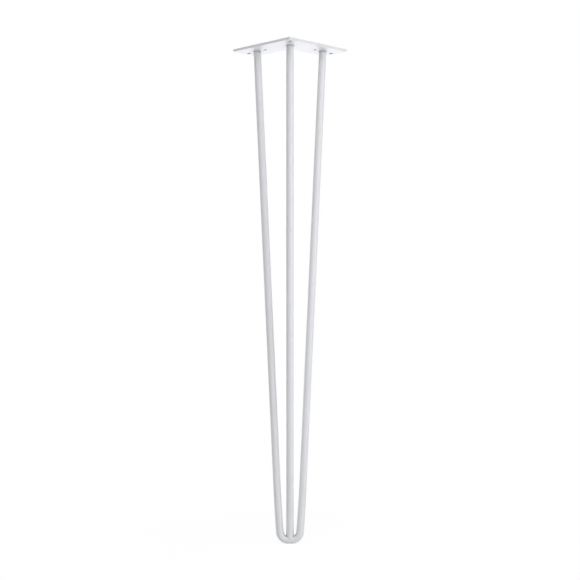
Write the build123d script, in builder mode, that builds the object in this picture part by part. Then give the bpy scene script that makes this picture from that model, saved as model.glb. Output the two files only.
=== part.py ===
from build123d import *
import os
from math import cos, radians, sin, sqrt, tan

# Hairpin table leg with three rods: an L-shaped plate, one bar bent to a hairpin and a straight
# third bar in the corner, welded together.
# The origin is on the plate's top face, on the axis of the corner rod, with +Z up.
# The plate's outer corner points to -Y, and the leg is symmetric about the YZ plane.

# Overall size, in millimetres
leg_height = 710.0
rod_diameter = 10.6

# Plate: two equal arms at a right angle, measured from the outer corner
arm_length = 117.4
arm_width = 46.0
plate_thickness = 3.5
plate_corner_radius = 1.0
plate_inner_radius = 3.0
plate_edge_round = 0.4

# Places on the plate, measured from its outer edges
screw_hole_diameter = 5.0
inner_screw_station = 74.9
outer_screw_station = 109.0
screw_inset = 24.0
corner_hole_diameter = 3.5
corner_hole_inset = 10.0
corner_rod_inset = 28.0
side_rod_station = 90.3

# Hairpin: the short flat of its foot, the tight bend, and the slight knee where the legs straighten
foot_flat = 5.2
bend_radius = 11.8
foot_splay = 4.1
knee_height = 52.0
knee_radius = 2500.0
rod_overrun = 3.0

# Corner rod: how far above the axis of the foot its coped points are dressed off
cope_clearance = 1.5

# Welds
plate_weld_width = 1.1
plate_weld_depth = 1.3
weld_root = 1.0
foot_weld_radius = 1.2
foot_weld_start = 15.0
foot_weld_end = 90.0

# Values worked out from the driving dimensions
rod_radius = rod_diameter / 2
underside = -plate_thickness
foot_axis_z = rod_radius - leg_height
underside_plane = Plane.XY.offset(underside)
outer_corner_y = -corner_rod_inset * sqrt(2)
plate_plane = Plane(origin=(0, outer_corner_y, underside), x_dir=(1, 1, 0), z_dir=(0, 0, 1))
right_seat = plate_plane.from_local_coords(Vector(side_rod_station, arm_width / 2))
left_seat = plate_plane.from_local_coords(Vector(arm_width / 2, side_rod_station))
corner_seat = Vector(0, 0, underside)

# The hairpin lies in a plane that leans from the foot back to the seats of its two legs
foot_centre = Vector(0, 0, foot_axis_z)
lean = Vector(0, right_seat.Y, right_seat.Z - foot_axis_z)
hairpin_plane = Plane(origin=foot_centre, x_dir=(1, 0, 0), z_dir=Vector(1, 0, 0).cross(lean))
foot_corner = foot_flat / 2 + bend_radius * tan(radians(90 - foot_splay) / 2)
knee = Vector(foot_corner + knee_height * tan(radians(foot_splay)), knee_height)
seat_in_plane = hairpin_plane.to_local_coords(right_seat)
leg_top = seat_in_plane + (seat_in_plane - knee).normalized() * rod_overrun

os.makedirs("parts", exist_ok=True)


def keep(builder, node):
    """Name a finished piece and write it as one STEP file."""
    builder.part.label = node
    export_step(builder.part, f"parts/{node}.step")


# Mounting plate: L outline, rounded edges, a small corner hole and two screw holes beside each side rod
with BuildPart() as mounting_plate:
    with BuildSketch(plate_plane) as outline:
        with BuildLine():
            Polyline(
                (0, 0),
                (arm_length, 0),
                (arm_length, arm_width),
                (arm_width, arm_width),
                (arm_width, arm_length),
                (0, arm_length),
                close=True,
            )
        make_face()
        inner_first = outline.vertices().sort_by_distance((arm_width, arm_width))
        fillet(inner_first[0], plate_inner_radius)
        square_corners = outline.vertices().sort_by_distance((arm_width, arm_width))[2:]
        fillet(square_corners, plate_corner_radius)
    extrude(amount=plate_thickness)
    fillet(mounting_plate.faces().filter_by(Axis.Z).edges(), plate_edge_round)
    with BuildSketch(plate_plane):
        with Locations((corner_hole_inset, corner_hole_inset)):
            Circle(corner_hole_diameter / 2)
        for station in (inner_screw_station, outer_screw_station):
            with Locations((station, screw_inset), (screw_inset, station)):
                Circle(screw_hole_diameter / 2)
    extrude(amount=plate_thickness, mode=Mode.SUBTRACT)
keep(mounting_plate, "mounting_plate")

# Hairpin rod: one bar swept down one leg, round the foot and up the other, cut flush under the plate
right_points = [(leg_top.X, leg_top.Y), (knee.X, knee.Y), (foot_corner, 0)]
left_points = [(-x, y) for x, y in reversed(right_points)]
route_radii = [knee_radius, bend_radius, bend_radius, knee_radius]
with BuildPart() as hairpin_rod:
    with BuildLine(hairpin_plane):
        route = FilletPolyline(*right_points, *left_points, radius=route_radii)
    with BuildSketch(Plane(origin=route @ 0, z_dir=route % 0)):
        Circle(rod_radius)
    sweep()
    split(bisect_by=underside_plane, keep=Keep.BOTTOM)
keep(hairpin_rod, "hairpin_rod")

# Corner rod: upright bar whose lower end is coped over the foot of the hairpin
cope_end_z = foot_axis_z + cope_clearance
with BuildPart() as corner_rod:
    with BuildSketch(Plane.XY.offset(cope_end_z)):
        Circle(rod_radius)
    extrude(amount=underside - cope_end_z)
    add(hairpin_rod.part, mode=Mode.SUBTRACT)
keep(corner_rod, "corner_rod")


def plate_weld(node, seat, rod):
    """Fillet weld round a rod under the plate: a ring with a sloping face, less the rod inside it."""
    rim = rod_radius + plate_weld_width
    bore = rod_radius - weld_root
    with BuildPart() as weld:
        with BuildSketch(Plane(origin=seat, x_dir=(1, 0, 0), z_dir=(0, -1, 0))):
            with BuildLine():
                Polyline(
                    (bore, 0),
                    (rim, 0),
                    (rod_radius, -plate_weld_depth),
                    (bore, -plate_weld_depth),
                    close=True,
                )
            make_face()
        revolve(axis=Axis(seat, (0, 0, 1)))
        add(rod.part, mode=Mode.SUBTRACT)
    keep(weld, node)


plate_weld("plate_weld_right", right_seat, hairpin_rod)
plate_weld("plate_weld_left", left_seat, hairpin_rod)
plate_weld("plate_weld_corner", corner_seat, corner_rod)


def seam_point(angle):
    """Point where the corner rod meets the bend, at an angle round the rod from +X towards +Y."""
    across = rod_radius * cos(radians(angle))
    behind = rod_radius * sin(radians(angle))
    down_the_rod = Axis((across, behind, foot_axis_z + bend_radius), (0, 0, -1))
    hits = hairpin_rod.part.find_intersection_points(down_the_rod)
    return max((point for point, normal in hits), key=lambda point: point.Z)


# Foot weld: one bead behind the foot, from one crotch of the seam round the back to the other
foot_weld_middle = (foot_weld_start + foot_weld_end) / 2
with BuildPart() as foot_weld:
    with BuildLine():
        run = ThreePointArc([seam_point(a) for a in (foot_weld_start, foot_weld_middle, foot_weld_end)])
    with BuildSketch(Plane(origin=run @ 0, z_dir=run % 0)):
        Circle(foot_weld_radius)
    sweep()
    with Locations(run @ 0, run @ 1):
        Sphere(foot_weld_radius)
    mirror(about=Plane.YZ)
    add(hairpin_rod.part, mode=Mode.SUBTRACT)
    add(corner_rod.part, mode=Mode.SUBTRACT)
keep(foot_weld, "foot_weld")
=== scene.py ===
# %% [markdown]
# # A white hairpin table leg
# The leg is three round steel bars and an L-shaped plate, welded together and powder coated white.
# The imported CAD model comes first, because every piece below is placed from it. Its box is read as it is
# now.

# %% Load the imported leg
import bpy
import numpy as np
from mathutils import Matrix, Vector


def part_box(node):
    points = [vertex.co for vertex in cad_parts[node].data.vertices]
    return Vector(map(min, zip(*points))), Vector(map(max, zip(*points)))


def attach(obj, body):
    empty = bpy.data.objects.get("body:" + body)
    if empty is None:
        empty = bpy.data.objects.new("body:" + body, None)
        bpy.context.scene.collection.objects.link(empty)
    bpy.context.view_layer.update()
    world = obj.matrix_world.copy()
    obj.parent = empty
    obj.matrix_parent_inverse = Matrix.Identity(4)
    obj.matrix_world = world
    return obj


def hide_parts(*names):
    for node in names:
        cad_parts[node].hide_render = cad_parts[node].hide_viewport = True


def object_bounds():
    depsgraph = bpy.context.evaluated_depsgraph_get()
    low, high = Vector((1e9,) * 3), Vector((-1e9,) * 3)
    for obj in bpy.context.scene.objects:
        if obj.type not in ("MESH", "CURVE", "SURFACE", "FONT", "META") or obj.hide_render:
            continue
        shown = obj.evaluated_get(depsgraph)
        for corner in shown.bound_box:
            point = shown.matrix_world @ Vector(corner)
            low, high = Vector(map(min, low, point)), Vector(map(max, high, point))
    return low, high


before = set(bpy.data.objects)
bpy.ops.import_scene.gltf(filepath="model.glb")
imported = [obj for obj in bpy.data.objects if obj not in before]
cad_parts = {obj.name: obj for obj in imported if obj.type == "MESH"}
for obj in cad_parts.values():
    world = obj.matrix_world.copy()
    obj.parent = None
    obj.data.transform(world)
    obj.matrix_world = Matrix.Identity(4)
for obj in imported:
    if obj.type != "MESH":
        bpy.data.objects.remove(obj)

cad_low, cad_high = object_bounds()
print("CAD box, metres:", list(cad_low), list(cad_high))

# %% [markdown]
# The bars are drawn again below as smooth surfaces, so their diameter, the height of the foot and the
# places where they meet the plate are needed as numbers. They could be typed in, but they are read from
# the frame instead: the box of the corner rod gives the diameter, and the weld round each side bar is a
# flat ring under the plate, so the middle of its box is the middle of the bar.

# %% Read the sizes that the frame gives
rod_low, rod_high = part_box("corner_rod")
plate_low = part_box("mounting_plate")[0]
ring_low, ring_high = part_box("plate_weld_right")
ROD_RADIUS = round((rod_high.x - rod_low.x) / 2, 5)
UNDERSIDE = plate_low.z
FOOT_AXIS = np.array([0.0, 0.0, cad_low.z + ROD_RADIUS])
SEAT_X = (ring_low.x + ring_high.x) / 2
SEAT_Y = (ring_low.y + ring_high.y) / 2
SEAT = np.array([SEAT_X, SEAT_Y, UNDERSIDE])
print("rod radius", ROD_RADIUS, "seat of the right bar", SEAT)

# %% [markdown]
# The photograph was taken level with the middle of the leg and straight at the plate's outer corner:
# the plate's underside shows above, and the foot is seen from a little above. A closer camera would draw
# the plate's corner too large, and one far away would hide the underside. A medium long lens at about a
# metre and a half gives the photograph's widths at the plate and at the foot.

# %% Camera
CAMERA_DISTANCE = 1.551
CAMERA_HEIGHT = -0.3505
CAMERA_LENS_MM = 69.6
camera = bpy.data.objects.new("camera", bpy.data.cameras.new("camera"))
camera.data.lens = CAMERA_LENS_MM
camera.location = (0, plate_low.y - CAMERA_DISTANCE, CAMERA_HEIGHT)
camera.rotation_euler = (np.pi / 2, 0, 0)
bpy.context.scene.collection.objects.link(camera)
bpy.context.scene.camera = camera
print("camera at", list(camera.location))

# %% [markdown]
# All the new pieces are closed skins made of rings of points: a bar is rings along its length, a weld is
# rings round its bead. One helper turns such an array into a mesh. The rows of the array become rings,
# neighbouring rings are joined by four-sided faces, and the ends are closed by a fan to a pole or, for a
# bead that runs in a circle, by joining the last ring to the first.

# %% Helper that joins rings of points into a closed skin
CREASE_ANGLE = np.radians(40)


def closed_skin(name, rings, poles=None):
    """Mesh object from rings[i, j], point j of ring i, in metres.

    Face (i, j) joins points j and j + 1 of ring i to the same points of ring i + 1, counted round.
    With two poles a fan closes each end; without them ring i + 1 of the last ring is the first.
    """
    rows, columns = rings.shape[:2]
    index = np.arange(rows * columns).reshape(rows, columns)
    beside = np.roll(index, -1, axis=1)
    joined = rows if poles is None else rows - 1
    above, above_beside = np.roll(index, -1, axis=0), np.roll(beside, -1, axis=0)
    quads = np.stack([index, beside, above_beside, above], axis=-1)[:joined].reshape(-1, 4)
    points, faces = rings.reshape(-1, 3), quads.tolist()
    if poles is not None:
        points = np.vstack([points, poles])
        first_pole = np.full(columns, rows * columns)
        faces += np.stack([beside[0], index[0], first_pole], axis=-1).tolist()
        faces += np.stack([index[-1], beside[-1], first_pole + 1], axis=-1).tolist()
    mesh = bpy.data.meshes.new(name)
    mesh.from_pydata(points.tolist(), [], faces)
    mesh.shade_smooth()
    mesh.set_sharp_from_angle(angle=CREASE_ANGLE)
    piece = bpy.data.objects.new(name, mesh)
    bpy.context.scene.collection.objects.link(piece)
    print(name, len(mesh.vertices), "points", len(mesh.polygons), "faces")
    return piece


# %% [markdown]
# The hairpin is one bar, bent cold round a small former at the foot, with legs that straighten over a
# long gentle knee and lean back to the plate. A bevelled curve could follow the route, but its handles
# would only come near to true arcs. Here the route is worked out from how it turns: the heading stays
# the same along a straight stretch and changes evenly along an arc, so a sum of small steps, each the
# chord of its own arc, lands exactly on the bends. Each half has five stretches: half of a short flat, the
# bend, a splayed stretch, the knee and the leg.

# %% Route of the hairpin
FOOT_FLAT = 0.0052
BEND_RADIUS = 0.0118
FOOT_SPLAY = np.radians(4.1)
KNEE_HEIGHT = 0.052
KNEE_RADIUS = 2.5
ACROSS = np.array([1.0, 0.0, 0.0])
rise = np.array([0.0, SEAT_Y, UNDERSIDE - FOOT_AXIS[2]])
SEAT_HEIGHT = np.linalg.norm(rise)
UP = rise / SEAT_HEIGHT
FACING = np.cross(ACROSS, UP)
BEND_TURN = np.pi / 2 - FOOT_SPLAY
bend_reach = BEND_RADIUS * np.tan(BEND_TURN / 2)
knee_out = FOOT_FLAT / 2 + bend_reach + KNEE_HEIGHT * np.tan(FOOT_SPLAY)
leg_run = np.array([SEAT_X - knee_out, SEAT_HEIGHT - KNEE_HEIGHT])
leg_splay = np.arctan2(*leg_run)
knee_turn = FOOT_SPLAY - leg_splay
knee_reach = KNEE_RADIUS * np.tan(knee_turn / 2)
stretch_lengths = [
    FOOT_FLAT / 2,
    BEND_RADIUS * BEND_TURN,
    KNEE_HEIGHT / np.cos(FOOT_SPLAY) - bend_reach - knee_reach,
    KNEE_RADIUS * knee_turn,
    np.linalg.norm(leg_run) - knee_reach,
]
stretch_headings = [0.0, 0.0, BEND_TURN, BEND_TURN, np.pi / 2 - leg_splay, np.pi / 2 - leg_splay]
stretch_steps = [2, 36, 4, 20, 56]


def hairpin_route():
    """Centre points and headings from the left seat, round the foot, to the right seat.

    The right half starts at the middle of the foot. Its heading is read off between the ends of the five
    stretches, each step goes along the mean heading of its two ends, and a step that turns by t is
    shortened by sin(t / 2) / (t / 2), the chord of an arc. The left half is the mirror image.
    """
    ends = np.concatenate([[0], np.cumsum(stretch_lengths)])
    pieces = [np.linspace(a, b, n, endpoint=False) for a, b, n in zip(ends[:-1], ends[1:], stretch_steps)]
    along = np.append(np.concatenate(pieces), ends[-1])
    heading = np.interp(along, ends, stretch_headings)
    turn = np.diff(heading)
    step = np.diff(along) * np.sinc(turn / (2 * np.pi))
    mean_heading = heading[:-1] + turn / 2
    out = np.concatenate([[0], np.cumsum(step * np.cos(mean_heading))])
    height = np.concatenate([[0], np.cumsum(step * np.sin(mean_heading))])
    out = np.concatenate([-out[:0:-1], out])
    height = np.concatenate([height[:0:-1], height])
    heading = np.concatenate([-heading[:0:-1], heading])
    return FOOT_AXIS + out[:, None] * ACROSS + height[:, None] * UP, heading


route, heading = hairpin_route()
print("route ends", route[0], route[-1], "length", sum(stretch_lengths) * 2)

# %% [markdown]
# The skin of the bar is a circle carried along that route. Every ring stands square to the route, and the
# two end rings are slid along the bar until they lie flat against the underside of the plate, as a bar
# that is mitred before it is welded.

# %% Hairpin rod
ROUND_STEPS = 64
round_angle = np.arange(ROUND_STEPS) * 2 * np.pi / ROUND_STEPS


def hairpin_rings():
    """Rings of radius ROD_RADIUS round the route: cos(angle) times the normal in the plane of the hairpin
    plus sin(angle) times the direction in which that plane faces."""
    tangent = np.cos(heading)[:, None] * ACROSS + np.sin(heading)[:, None] * UP
    normal = np.cos(heading)[:, None] * UP - np.sin(heading)[:, None] * ACROSS
    circle = np.cos(round_angle)[:, None] * normal[:, None, :] + np.sin(round_angle)[:, None] * FACING
    rings = route[:, None, :] + ROD_RADIUS * circle
    for end in (0, -1):
        slide = (UNDERSIDE - rings[end, :, 2]) / tangent[end, 2]
        rings[end] += slide[:, None] * tangent[end]
    return rings


hairpin = closed_skin("hairpin", hairpin_rings(), poles=route[[0, -1]])
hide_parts("hairpin_rod")

# %% [markdown]
# The third bar stands upright in the corner of the plate. Its foot is coped: ground to a saddle that fits
# over the bend of the hairpin, so that the two bars meet along a V at the front. A boolean would cut it,
# but it leaves long thin faces. The height of the saddle over any point can be written down instead,
# because the bend is part of a ring, and then both the end of the side and the end face follow it.

# %% Height of the coped foot
COPE_CLEARANCE = 0.0015
COPE_ROUNDS = 40
LEAN = np.arctan2(UP[1], UP[2])


def cope_height(x, y, lowest=COPE_CLEARANCE):
    """Height above the axis of the foot at which an upright line at x, y meets the bend, or lowest.

    At distance w from the plane of the hairpin, a bar of radius r reaches sqrt(r² - w²) to the inside of
    the bend. That leaves an inner radius, and the height in the plane is the bend radius less the height
    of a circle of that inner radius, measured from the end of the flat. The plane leans, so w depends on
    the height, and repeating the two steps settles both.
    """
    past_flat = np.maximum(np.abs(x) - FOOT_FLAT / 2, 0)
    height = np.full_like(x, ROD_RADIUS)
    for _ in range(COPE_ROUNDS):
        depth = height * np.sin(LEAN) - y * np.cos(LEAN)
        inner = BEND_RADIUS - np.sqrt(np.maximum(ROD_RADIUS**2 - depth**2, 0))
        in_plane = BEND_RADIUS - np.sqrt(np.maximum(inner**2 - past_flat**2, 0))
        height = (in_plane - y * np.sin(LEAN)) / np.cos(LEAN)
    return np.maximum(height, lowest)


cope_middle = FOOT_AXIS[2] + cope_height(np.zeros(1), np.zeros(1))[0]
print("middle of the saddle at", cope_middle)

# %% [markdown]
# With that height known, the skin of the bar is a plain stack of rings. It could end in a flat cap pushed
# into the bend, but then the bars would overlap. So the first rings grow outwards over the saddle, and the
# rest climb the side.

# %% Corner rod
SIDE_STEPS = 80
COPE_STEPS = 12


def corner_rod_rings():
    """Rings from the middle of the coped end outwards, then up the side to the plate.

    On the end face the ring of radius q is at the cope height of its own points. On the side the height
    goes in even steps, the same share of the way at every angle, from the cope to the underside.
    """
    reach = np.linspace(0, ROD_RADIUS, COPE_STEPS + 1)[1:, None]
    end_x, end_y = reach * np.cos(round_angle), reach * np.sin(round_angle)
    end_z = FOOT_AXIS[2] + cope_height(end_x, end_y)
    share = np.linspace(0, 1, SIDE_STEPS + 1)[1:, None]
    side_z = end_z[-1] + share * (UNDERSIDE - end_z[-1])
    x = np.vstack([end_x, np.repeat(end_x[-1:], SIDE_STEPS, axis=0)])
    y = np.vstack([end_y, np.repeat(end_y[-1:], SIDE_STEPS, axis=0)])
    return np.stack([x, y, np.vstack([end_z, side_z])], axis=-1)


corner_poles = [(0, 0, cope_middle), (0, 0, UNDERSIDE)]
corner_rod = closed_skin("corner_rod_smooth", corner_rod_rings(), poles=corner_poles)
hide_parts("corner_rod")

# %% [markdown]
# Where a bar meets the plate, a welder has run a small bead right round it. The bead is laid as a row of
# overlapping puddles, so its edge is faintly scalloped, and the paint on top softens the scallops. The
# bead could be a plain torus, but that would bulge. Here it is a ring with a four-cornered section: two
# corners are hidden in the bar and in the plate, and the face between the other two is slightly hollow.

# %% Welds under the plate
WELD_WIDTH = 0.0011
WELD_DEPTH = 0.0013
WELD_HOLLOW = 0.00015
WELD_ROOT = 0.0003
PUDDLE_PITCH = 0.0017
PUDDLE_HEIGHT = 0.10
PUDDLE_PUSH = 0.5
WELD_ROUND_STEPS = 192
WELD_FACE_STEPS = 12


def puddles(distance, pitch):
    """Share of a puddle's swell, -1 to 1: a cosine of the distance along the bead, with its phase pushed to
    and fro by another cosine, so that each puddle is steep on one side, as a scale is."""
    phase = 2 * np.pi * distance / pitch
    return np.cos(phase + PUDDLE_PUSH * np.cos(phase))


def plate_weld_rings(seat, direction):
    """Rings round the axis of a bar: ring i is the section of the bead at angle i.

    The face runs from the toe on the plate to the toe on the bar, bowed inwards by a parabola, and the
    swell of the puddles scales both legs of the bead. Every section is moved along the bar as it drops.
    """
    angle = np.arange(WELD_ROUND_STEPS) * 2 * np.pi / WELD_ROUND_STEPS
    puddle_count = round(2 * np.pi * ROD_RADIUS / PUDDLE_PITCH)
    swell = 1 + PUDDLE_HEIGHT * puddles(angle, 2 * np.pi / puddle_count)
    share = np.linspace(0, 1, WELD_FACE_STEPS + 1)
    bow = WELD_HOLLOW * 4 * share * (1 - share)
    out = swell[:, None] * (WELD_WIDTH * (1 - share) - bow)
    drop = swell[:, None] * (WELD_DEPTH * share - bow)
    hidden = np.ones((WELD_ROUND_STEPS, 1))
    out = np.hstack([out, -WELD_ROOT * hidden, -WELD_ROOT * hidden, out[:, :1]])
    drop = np.hstack([drop, drop[:, -1:], -WELD_ROOT * hidden, -WELD_ROOT * hidden])
    spoke = np.stack([np.cos(angle), np.sin(angle), np.zeros_like(angle)], axis=-1)
    along_bar = direction / direction[2]
    return seat + (ROD_RADIUS + out)[:, :, None] * spoke[:, None, :] - drop[:, :, None] * along_bar


rise_right = np.cos(heading[-1]) * ACROSS + np.sin(heading[-1]) * UP
mirror = np.array([-1, 1, 1])
collars = {
    "right": (SEAT, rise_right),
    "left": (SEAT * mirror, rise_right * mirror),
    "corner": (np.array([0, 0, UNDERSIDE]), np.array([0, 0, 1.0])),
}
plate_welds = []
for place, (seat, direction) in collars.items():
    weld = closed_skin(f"weld_bead_{place}", plate_weld_rings(seat, direction))
    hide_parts(f"plate_weld_{place}")
    plate_welds.append(weld)

# %% [markdown]
# The corner bar is welded to the foot from behind, where the bead doesn't show from the front. It follows
# the seam of the cope from one crotch round the back to the other. The seam comes from the same formula
# as the cope, but the welder rounds off the two corners where the points of the cope are dressed flat. A
# bevelled curve could follow that path, but its thickness is hard to vary. Here the bead is a circle
# carried along it, whose radius swells with the puddles and closes to a point at both ends.

# %% Weld behind the foot
FOOT_WELD_RADIUS = 0.0012
FOOT_WELD_START = np.radians(15)
FOOT_WELD_ROUNDING = 0.0012
FOOT_WELD_POWER = 6
FOOT_WELD_STEPS = 160
FOOT_WELD_ROUND = 24


def rounded_seam(x, y):
    """Height of the bead's path: the larger of the cope and its clearance, with the corner between them
    rounded. To half of their sum it adds half the root of their squared difference plus the rounding
    squared."""
    cope = cope_height(x, y, lowest=-ROD_RADIUS)
    apart = np.sqrt((cope - COPE_CLEARANCE) ** 2 + FOOT_WELD_ROUNDING**2)
    return (cope + COPE_CLEARANCE + apart) / 2


def foot_weld_rings():
    """Circles carried along the seam. Their radius is the root of 1 less a power of the share of the way
    from the middle, so it stays even for most of the way and closes at both ends."""
    share = np.linspace(0, 1, FOOT_WELD_STEPS + 2)[1:-1]
    angle = FOOT_WELD_START + share * (np.pi - 2 * FOOT_WELD_START)
    x, y = ROD_RADIUS * np.cos(angle), ROD_RADIUS * np.sin(angle)
    seam = np.stack([x, y, FOOT_AXIS[2] + rounded_seam(x, y)], axis=-1)
    tangent = np.gradient(seam, axis=0)
    tangent /= np.linalg.norm(tangent, axis=1, keepdims=True)
    outward = np.stack([np.cos(angle), np.sin(angle), np.zeros_like(angle)], axis=-1)
    outward -= np.sum(outward * tangent, axis=1, keepdims=True) * tangent
    outward /= np.linalg.norm(outward, axis=1, keepdims=True)
    upward = np.cross(tangent, outward)
    distance = np.concatenate([[0], np.cumsum(np.linalg.norm(np.diff(seam, axis=0), axis=1))])
    taper = np.sqrt(1 - (2 * share - 1) ** FOOT_WELD_POWER)
    radius = FOOT_WELD_RADIUS * taper * (1 + PUDDLE_HEIGHT * puddles(distance, PUDDLE_PITCH))
    around = np.arange(FOOT_WELD_ROUND) * 2 * np.pi / FOOT_WELD_ROUND
    circle = np.cos(around)[:, None] * outward[:, None, :] + np.sin(around)[:, None] * upward[:, None, :]
    return seam[:, None, :] + radius[:, None, None] * circle, seam[[0, -1]]


foot_rings, foot_ends = foot_weld_rings()
foot_bead = closed_skin("foot_bead", foot_rings, poles=foot_ends)
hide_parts("foot_weld")

# %% [markdown]
# Powder coat is a dry resin dust that melts in an oven. It flows into a thick satin skin with a faint
# orange peel, about a millimetre from hill to hill, and its white is a little uneven where the layer is
# thicker. It could be one flat white, but that would look like plastic, so it is built from shader nodes
# that vary it. Three kinds of node are needed again and again, and a small helper makes each of them.

# %% Helpers for shader nodes


def noise(nodes, links, coordinates, scale, detail):
    """Noise texture with a number of cells per metre."""
    node = nodes.new("ShaderNodeTexNoise")
    node.inputs["Scale"].default_value = scale
    node.inputs["Detail"].default_value = detail
    links.new(coordinates, node.inputs["Vector"])
    return node.outputs["Fac"]


def remap(nodes, links, value, from_range, to_range=(0, 1)):
    """Value taken evenly from one range to another, and held at both ends."""
    node = nodes.new("ShaderNodeMapRange")
    node.inputs["From Min"].default_value, node.inputs["From Max"].default_value = from_range
    node.inputs["To Min"].default_value, node.inputs["To Max"].default_value = to_range
    links.new(value, node.inputs["Value"])
    return node.outputs["Result"]


def combine(nodes, links, operation, first, second):
    """Two values put through a math operation."""
    node = nodes.new("ShaderNodeMath")
    node.operation = operation
    links.new(first, node.inputs[0])
    links.new(second, node.inputs[1])
    return node.outputs["Value"]


# %% [markdown]
# Inside corners and holes get painted shade: their colour turns to a dark grey, which draws a dark line
# where a bar meets the plate, dark screw holes and dark notches in the foot. A mask could be painted by
# hand, but Ambient Occlusion finds just these places, because it gives the share of the room that a point
# can see within a short distance. Two kinds of places get no painted shade. The bottom of the foot is only
# covered by the table it stands on, and the level faces of the plate are open right up to the rims of the
# holes and the welds.

# %% Where no painted shade goes
STANDING_HEIGHT = (0.005, 0.010)


def unshaded_share(nodes, links, place, reach, shade_ao_range, level_share):
    """1 where the colour stays white and 0 where painted shade goes: the largest of three shares.

    The first is of the room seen within reach, the second of nearness to the table, and the third is
    level_share times the square of the upward part of the normal, which is 1 on a level face.
    """
    # Ambient Occlusion here only steers the painted shade in the colour; it adds no light.
    room = nodes.new("ShaderNodeAmbientOcclusion")
    room.inputs["Distance"].default_value = reach
    seen = remap(nodes, links, room.outputs["AO"], shade_ao_range)
    point = nodes.new("ShaderNodeSeparateXYZ")
    links.new(place.outputs["Object"], point.inputs["Vector"])
    standing_range = [cad_low.z + height for height in STANDING_HEIGHT]
    standing = remap(nodes, links, point.outputs["Z"], standing_range, (1, 0))
    facing = nodes.new("ShaderNodeSeparateXYZ")
    links.new(place.outputs["Normal"], facing.inputs["Vector"])
    level = combine(nodes, links, "MULTIPLY", facing.outputs["Z"], facing.outputs["Z"])
    level = remap(nodes, links, level, (0, 1), (0, level_share))
    kept = combine(nodes, links, "MAXIMUM", seen, standing)
    return combine(nodes, links, "MAXIMUM", kept, level)


print("standing on the table up to", STANDING_HEIGHT[1], "metres above the floor")

# %% [markdown]
# Now the finish itself, one Principled shader. Two slow noises vary the white and the gloss, and a fine one
# All of them read Object coordinates, so the pattern goes on from piece to piece. The bars, the plate and
# the welds get a coat each: the plate's holes need a sharper limit between the white and the painted shade
# than the bars do, and the paint on a weld is rougher.

# %% Powder coat
COAT_WHITE = (0.836, 0.838, 0.846, 1)
COAT_SHADE = (0.826, 0.827, 0.833, 1)
WHITE_CLOUDS = {"scale": 45, "detail": 3}
GLOSS_CLOUDS = {"scale": 120, "detail": 2}
PEEL_HILLS = {"scale": 900, "detail": 2}
PEEL_STRENGTH = 0.6


def mix_colour(nodes, links, share, first, second):
    """Colour between first and second, which are sockets or fixed colours."""
    node = nodes.new("ShaderNodeMix")
    node.data_type = "RGBA"
    links.new(share, node.inputs["Factor"])
    for socket, colour in ((node.inputs["A"], first), (node.inputs["B"], second)):
        if isinstance(colour, tuple):
            socket.default_value = colour
        else:
            links.new(colour, socket)
    return node.outputs["Result"]


def powder_coat(name, painted_shade_grey, reach, shade_ao_range, peel_depth, roughness_range, level_share=0.0):
    """White satin powder coat with painted shade: its colour turns to the given dark grey in corners and
    holes.
    """
    material = bpy.data.materials.new(name)
    material.use_nodes = True
    nodes, links = material.node_tree.nodes, material.node_tree.links
    shader = nodes["Principled BSDF"]
    place = nodes.new("ShaderNodeTexCoord")
    clouds = noise(nodes, links, place.outputs["Object"], **WHITE_CLOUDS)
    white = mix_colour(nodes, links, clouds, COAT_SHADE, COAT_WHITE)
    unshaded = unshaded_share(nodes, links, place, reach, shade_ao_range, level_share)
    # Painted shade: the white goes to the dark grey where the mask finds a corner, a hole or a crease.
    colour = mix_colour(nodes, links, unshaded, (painted_shade_grey, painted_shade_grey, painted_shade_grey, 1), white)
    links.new(colour, shader.inputs["Base Color"])
    gloss = noise(nodes, links, place.outputs["Object"], **GLOSS_CLOUDS)
    links.new(remap(nodes, links, gloss, (0, 1), roughness_range), shader.inputs["Roughness"])
    peel = nodes.new("ShaderNodeBump")
    peel.inputs["Distance"].default_value = peel_depth
    peel.inputs["Strength"].default_value = PEEL_STRENGTH
    links.new(noise(nodes, links, place.outputs["Object"], **PEEL_HILLS), peel.inputs["Height"])
    links.new(peel.outputs["Normal"], shader.inputs["Normal"])
    return material


# The first value of each set is the dark grey of the painted shade.
smooth_steel = {"painted_shade_grey": 0.05, "reach": 0.006, "peel_depth": 0.00001, "roughness_range": (0.35, 0.38)}
bead = {"painted_shade_grey": 0.12, "reach": 0.004, "peel_depth": 0.00003, "roughness_range": (0.37, 0.41)}
bar_coat = powder_coat("powder_coat_on_bar", shade_ao_range=(0.25, 0.85), **smooth_steel)
plate_coat = powder_coat("powder_coat_on_plate", shade_ao_range=(0.62, 0.97), level_share=0.9, **smooth_steel)
weld_coat = powder_coat("powder_coat_on_weld", shade_ao_range=(0.50, 1.00), **bead)
print("coats", bar_coat.name, plate_coat.name, weld_coat.name)

# %% [markdown]
# The plate is flat, with round holes and broken edges, and its CAD mesh already has them all, so it stays
# and only gets the new finish. The new pieces ride on the leg's only body and get the coats for bars and
# welds.

# %% Dress the plate and fix the new pieces to the leg
BODY = "root"
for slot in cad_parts["mounting_plate"].material_slots:
    slot.material = plate_coat
for piece in (hairpin, corner_rod):
    piece.data.materials.append(bar_coat)
for piece in (*plate_welds, foot_bead):
    piece.data.materials.append(weld_coat)
for piece in (hairpin, corner_rod, *plate_welds, foot_bead):
    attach(piece, BODY)
print("pieces on the leg:", [piece.name for piece in (hairpin, corner_rod, *plate_welds, foot_bead)])

# %% [markdown]
# The table and the room behind the leg look plain white. More light would make them so, but it would wash
# out the leg as well. Instead their shaders ask which kind of ray has arrived: one that shows them to the
# camera or in a gloss gets the white, and one that carries light gets the real surface. One helper asks,
# and the other mixes two shaders by the answer.

# %% Helpers for the white surroundings


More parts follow.
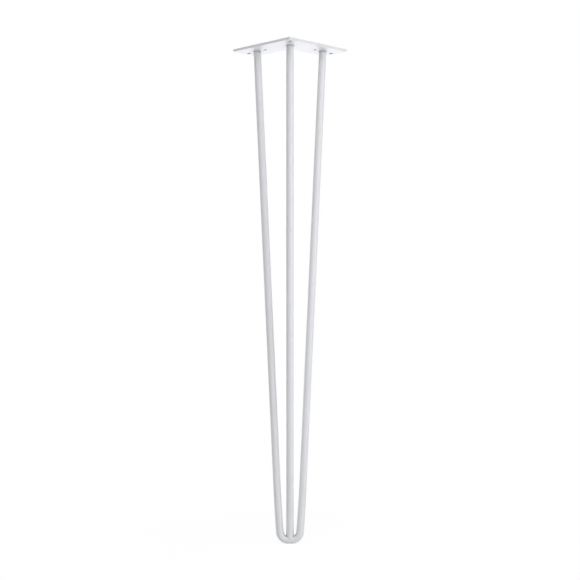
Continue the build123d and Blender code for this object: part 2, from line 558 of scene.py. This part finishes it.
def seen_directly(nodes, links):
    """1 for camera, glossy and transmission rays, otherwise 0."""
    rays = nodes.new("ShaderNodeLightPath").outputs
    seen = combine(nodes, links, "MAXIMUM", rays["Is Camera Ray"], rays["Is Glossy Ray"])
    return combine(nodes, links, "MAXIMUM", seen, rays["Is Transmission Ray"])


def mix_shader(nodes, links, share, first, second):
    """Shader between first and second."""
    node = nodes.new("ShaderNodeMixShader")
    links.new(share, node.inputs["Fac"])
    links.new(first, node.inputs[1])
    links.new(second, node.inputs[2])
    return node.outputs["Shader"]


# %% [markdown]
# The leg stands on a plain white table. Seen directly or in a gloss, the table is mostly its own white,
# with a share of real shading left in so that the leg keeps a soft shadow. For the light that it throws
# back onto the leg it is an ordinary pale matt surface. From below it can be seen through, so that the leg
# can be looked at from that side too.

# %% Floor
FLOOR_HALF = 3.0
FLOOR_WHITE = (0.92, 0.92, 0.92, 1)
SHADOW_SHARE = 0.20
FLOOR_LEVEL = 0.61
SHADOW_REACH = (0.15, 0.45)


def floor_material():
    """Matt white, mixed with plain white where it is seen directly. Near the foot SHADOW_SHARE of the matt
    white stays, which carries the shadow, and it fades out with the distance from the foot. The matt white
    is only FLOOR_LEVEL bright in the open, and the plain white makes up for that."""
    material = bpy.data.materials.new("white_table")
    material.use_nodes = True
    nodes, links = material.node_tree.nodes, material.node_tree.links
    nodes.remove(nodes["Principled BSDF"])
    matt = nodes.new("ShaderNodeBsdfDiffuse")
    matt.inputs["Color"].default_value = FLOOR_WHITE
    foot_distance = nodes.new("ShaderNodeVectorMath")
    foot_distance.operation = "DISTANCE"
    foot_distance.inputs[1].default_value = (0, 0, cad_low.z)
    links.new(nodes.new("ShaderNodeTexCoord").outputs["Object"], foot_distance.inputs[0])
    near_foot = (1 - SHADOW_SHARE, 1)
    own_white = remap(nodes, links, foot_distance.outputs["Value"], SHADOW_REACH, near_foot)
    own_white.node.interpolation_type = "SMOOTHSTEP"
    made_up = (1 - SHADOW_SHARE * FLOOR_LEVEL) / (1 - SHADOW_SHARE)
    white = nodes.new("ShaderNodeEmission")
    links.new(remap(nodes, links, own_white, near_foot, (made_up, 1)), white.inputs["Strength"])
    share = combine(nodes, links, "MULTIPLY", own_white, seen_directly(nodes, links))
    table = mix_shader(nodes, links, share, matt.outputs["BSDF"], white.outputs["Emission"])
    from_below = nodes.new("ShaderNodeNewGeometry").outputs["Backfacing"]
    clear = nodes.new("ShaderNodeBsdfTransparent").outputs["BSDF"]
    one_sided = mix_shader(nodes, links, from_below, table, clear)
    links.new(one_sided, nodes["Material Output"].inputs["Surface"])
    return material


floor_mesh = bpy.data.meshes.new("floor")
floor_corners = np.array([(-1, -1, 0), (1, -1, 0), (1, 1, 0), (-1, 1, 0)]) * FLOOR_HALF
floor_corners[:, 2] = cad_low.z
floor_mesh.from_pydata(floor_corners.tolist(), [], [(0, 1, 2, 3)])
floor_mesh.materials.append(floor_material())
floor = bpy.data.objects.new("floor", floor_mesh)
bpy.context.scene.collection.objects.link(floor)
print("floor at", cad_low.z)

# %% [markdown]
# The light is that of a white product tent, which glows evenly from all round. The glow is the world. Seen
# directly or in a gloss it is white, so that the background is white too, and as a source of light it is
# dimmer, so that the lamps below still shape the bars.

# %% World
FILL_LEVEL = 0.23
world = bpy.data.worlds.new("white_tent")
world.use_nodes = True
bpy.context.scene.world = world
nodes, links = world.node_tree.nodes, world.node_tree.links
background = nodes["Background"]
background.inputs["Color"].default_value = (1, 1, 1, 1)
level = remap(nodes, links, seen_directly(nodes, links), (0, 1), (FILL_LEVEL, 1))
links.new(level, background.inputs["Strength"])
print("fill level", FILL_LEVEL)

# %% [markdown]
# Six soft lamps do the rest. A broad one overhead lights the table and the top of the plate, two in front
# give the bars their round look, and one at the right makes their right sides and the plate's right face
# brighter than the left. The underside of the plate is its brightest face in the photograph and the bluest.
# That light comes up from the white table, so there are two lamps like white cards behind the leg: one
# leans towards it, and one lies flat. The leaning one alone would draw bright edges down the bars and hard
# shadows of them on the plate. Most lamps are a little bluer than the glow, as daylight is, so the brighter
# a face is, the cooler its white. The Standard view then shows each colour as the light makes it.

# %% Lamps


def soft_light(name, location, target, size, power, colour):
    """Square area light at location, turned to face target, in metres and watts."""
    lamp = bpy.data.lights.new(name, "AREA")
    lamp.size = size
    lamp.energy = power
    lamp.color = colour
    light = bpy.data.objects.new(name, lamp)
    light.location = location
    aim = np.array(target) - np.array(location)
    aim = aim / np.linalg.norm(aim)
    light.rotation_euler = (np.arccos(-aim[2]), 0, np.arctan2(-aim[0], aim[1]))
    light.visible_camera = False
    bpy.context.scene.collection.objects.link(light)
    return light


middle = (0, 0, (cad_low.z + cad_high.z) / 2)
# Each lamp's location, target, size, power and colour.
soft_lights = {
    "overhead": ((0, 0, 2.2), middle, 3.0, 18.0, (1.0, 1.0, 1.0)),
    "front_high": ((0, -1.6, 1.1), middle, 1.4, 13.0, (0.95, 0.95, 1.0)),
    "front": ((0.2, -1.8, -0.35), middle, 0.8, 2.6, (1.0, 1.0, 1.0)),
    "right": ((1.6, -0.9, -0.1), middle, 1.2, 10.6, (0.94, 0.965, 1.0)),
    "leaning_card": ((0, 0.9, -0.69), middle, 0.9, 3.6, (0.83, 0.87, 1.0)),
    "flat_card": ((0, 1.0, -0.705), (0, 1.0, 0), 1.4, 5.7, (0.97, 0.98, 1.0)),
}
for name, settings in soft_lights.items():
    soft_light(name, *settings)
bpy.context.scene.view_settings.view_transform = "Standard"
print("lamps", list(soft_lights))
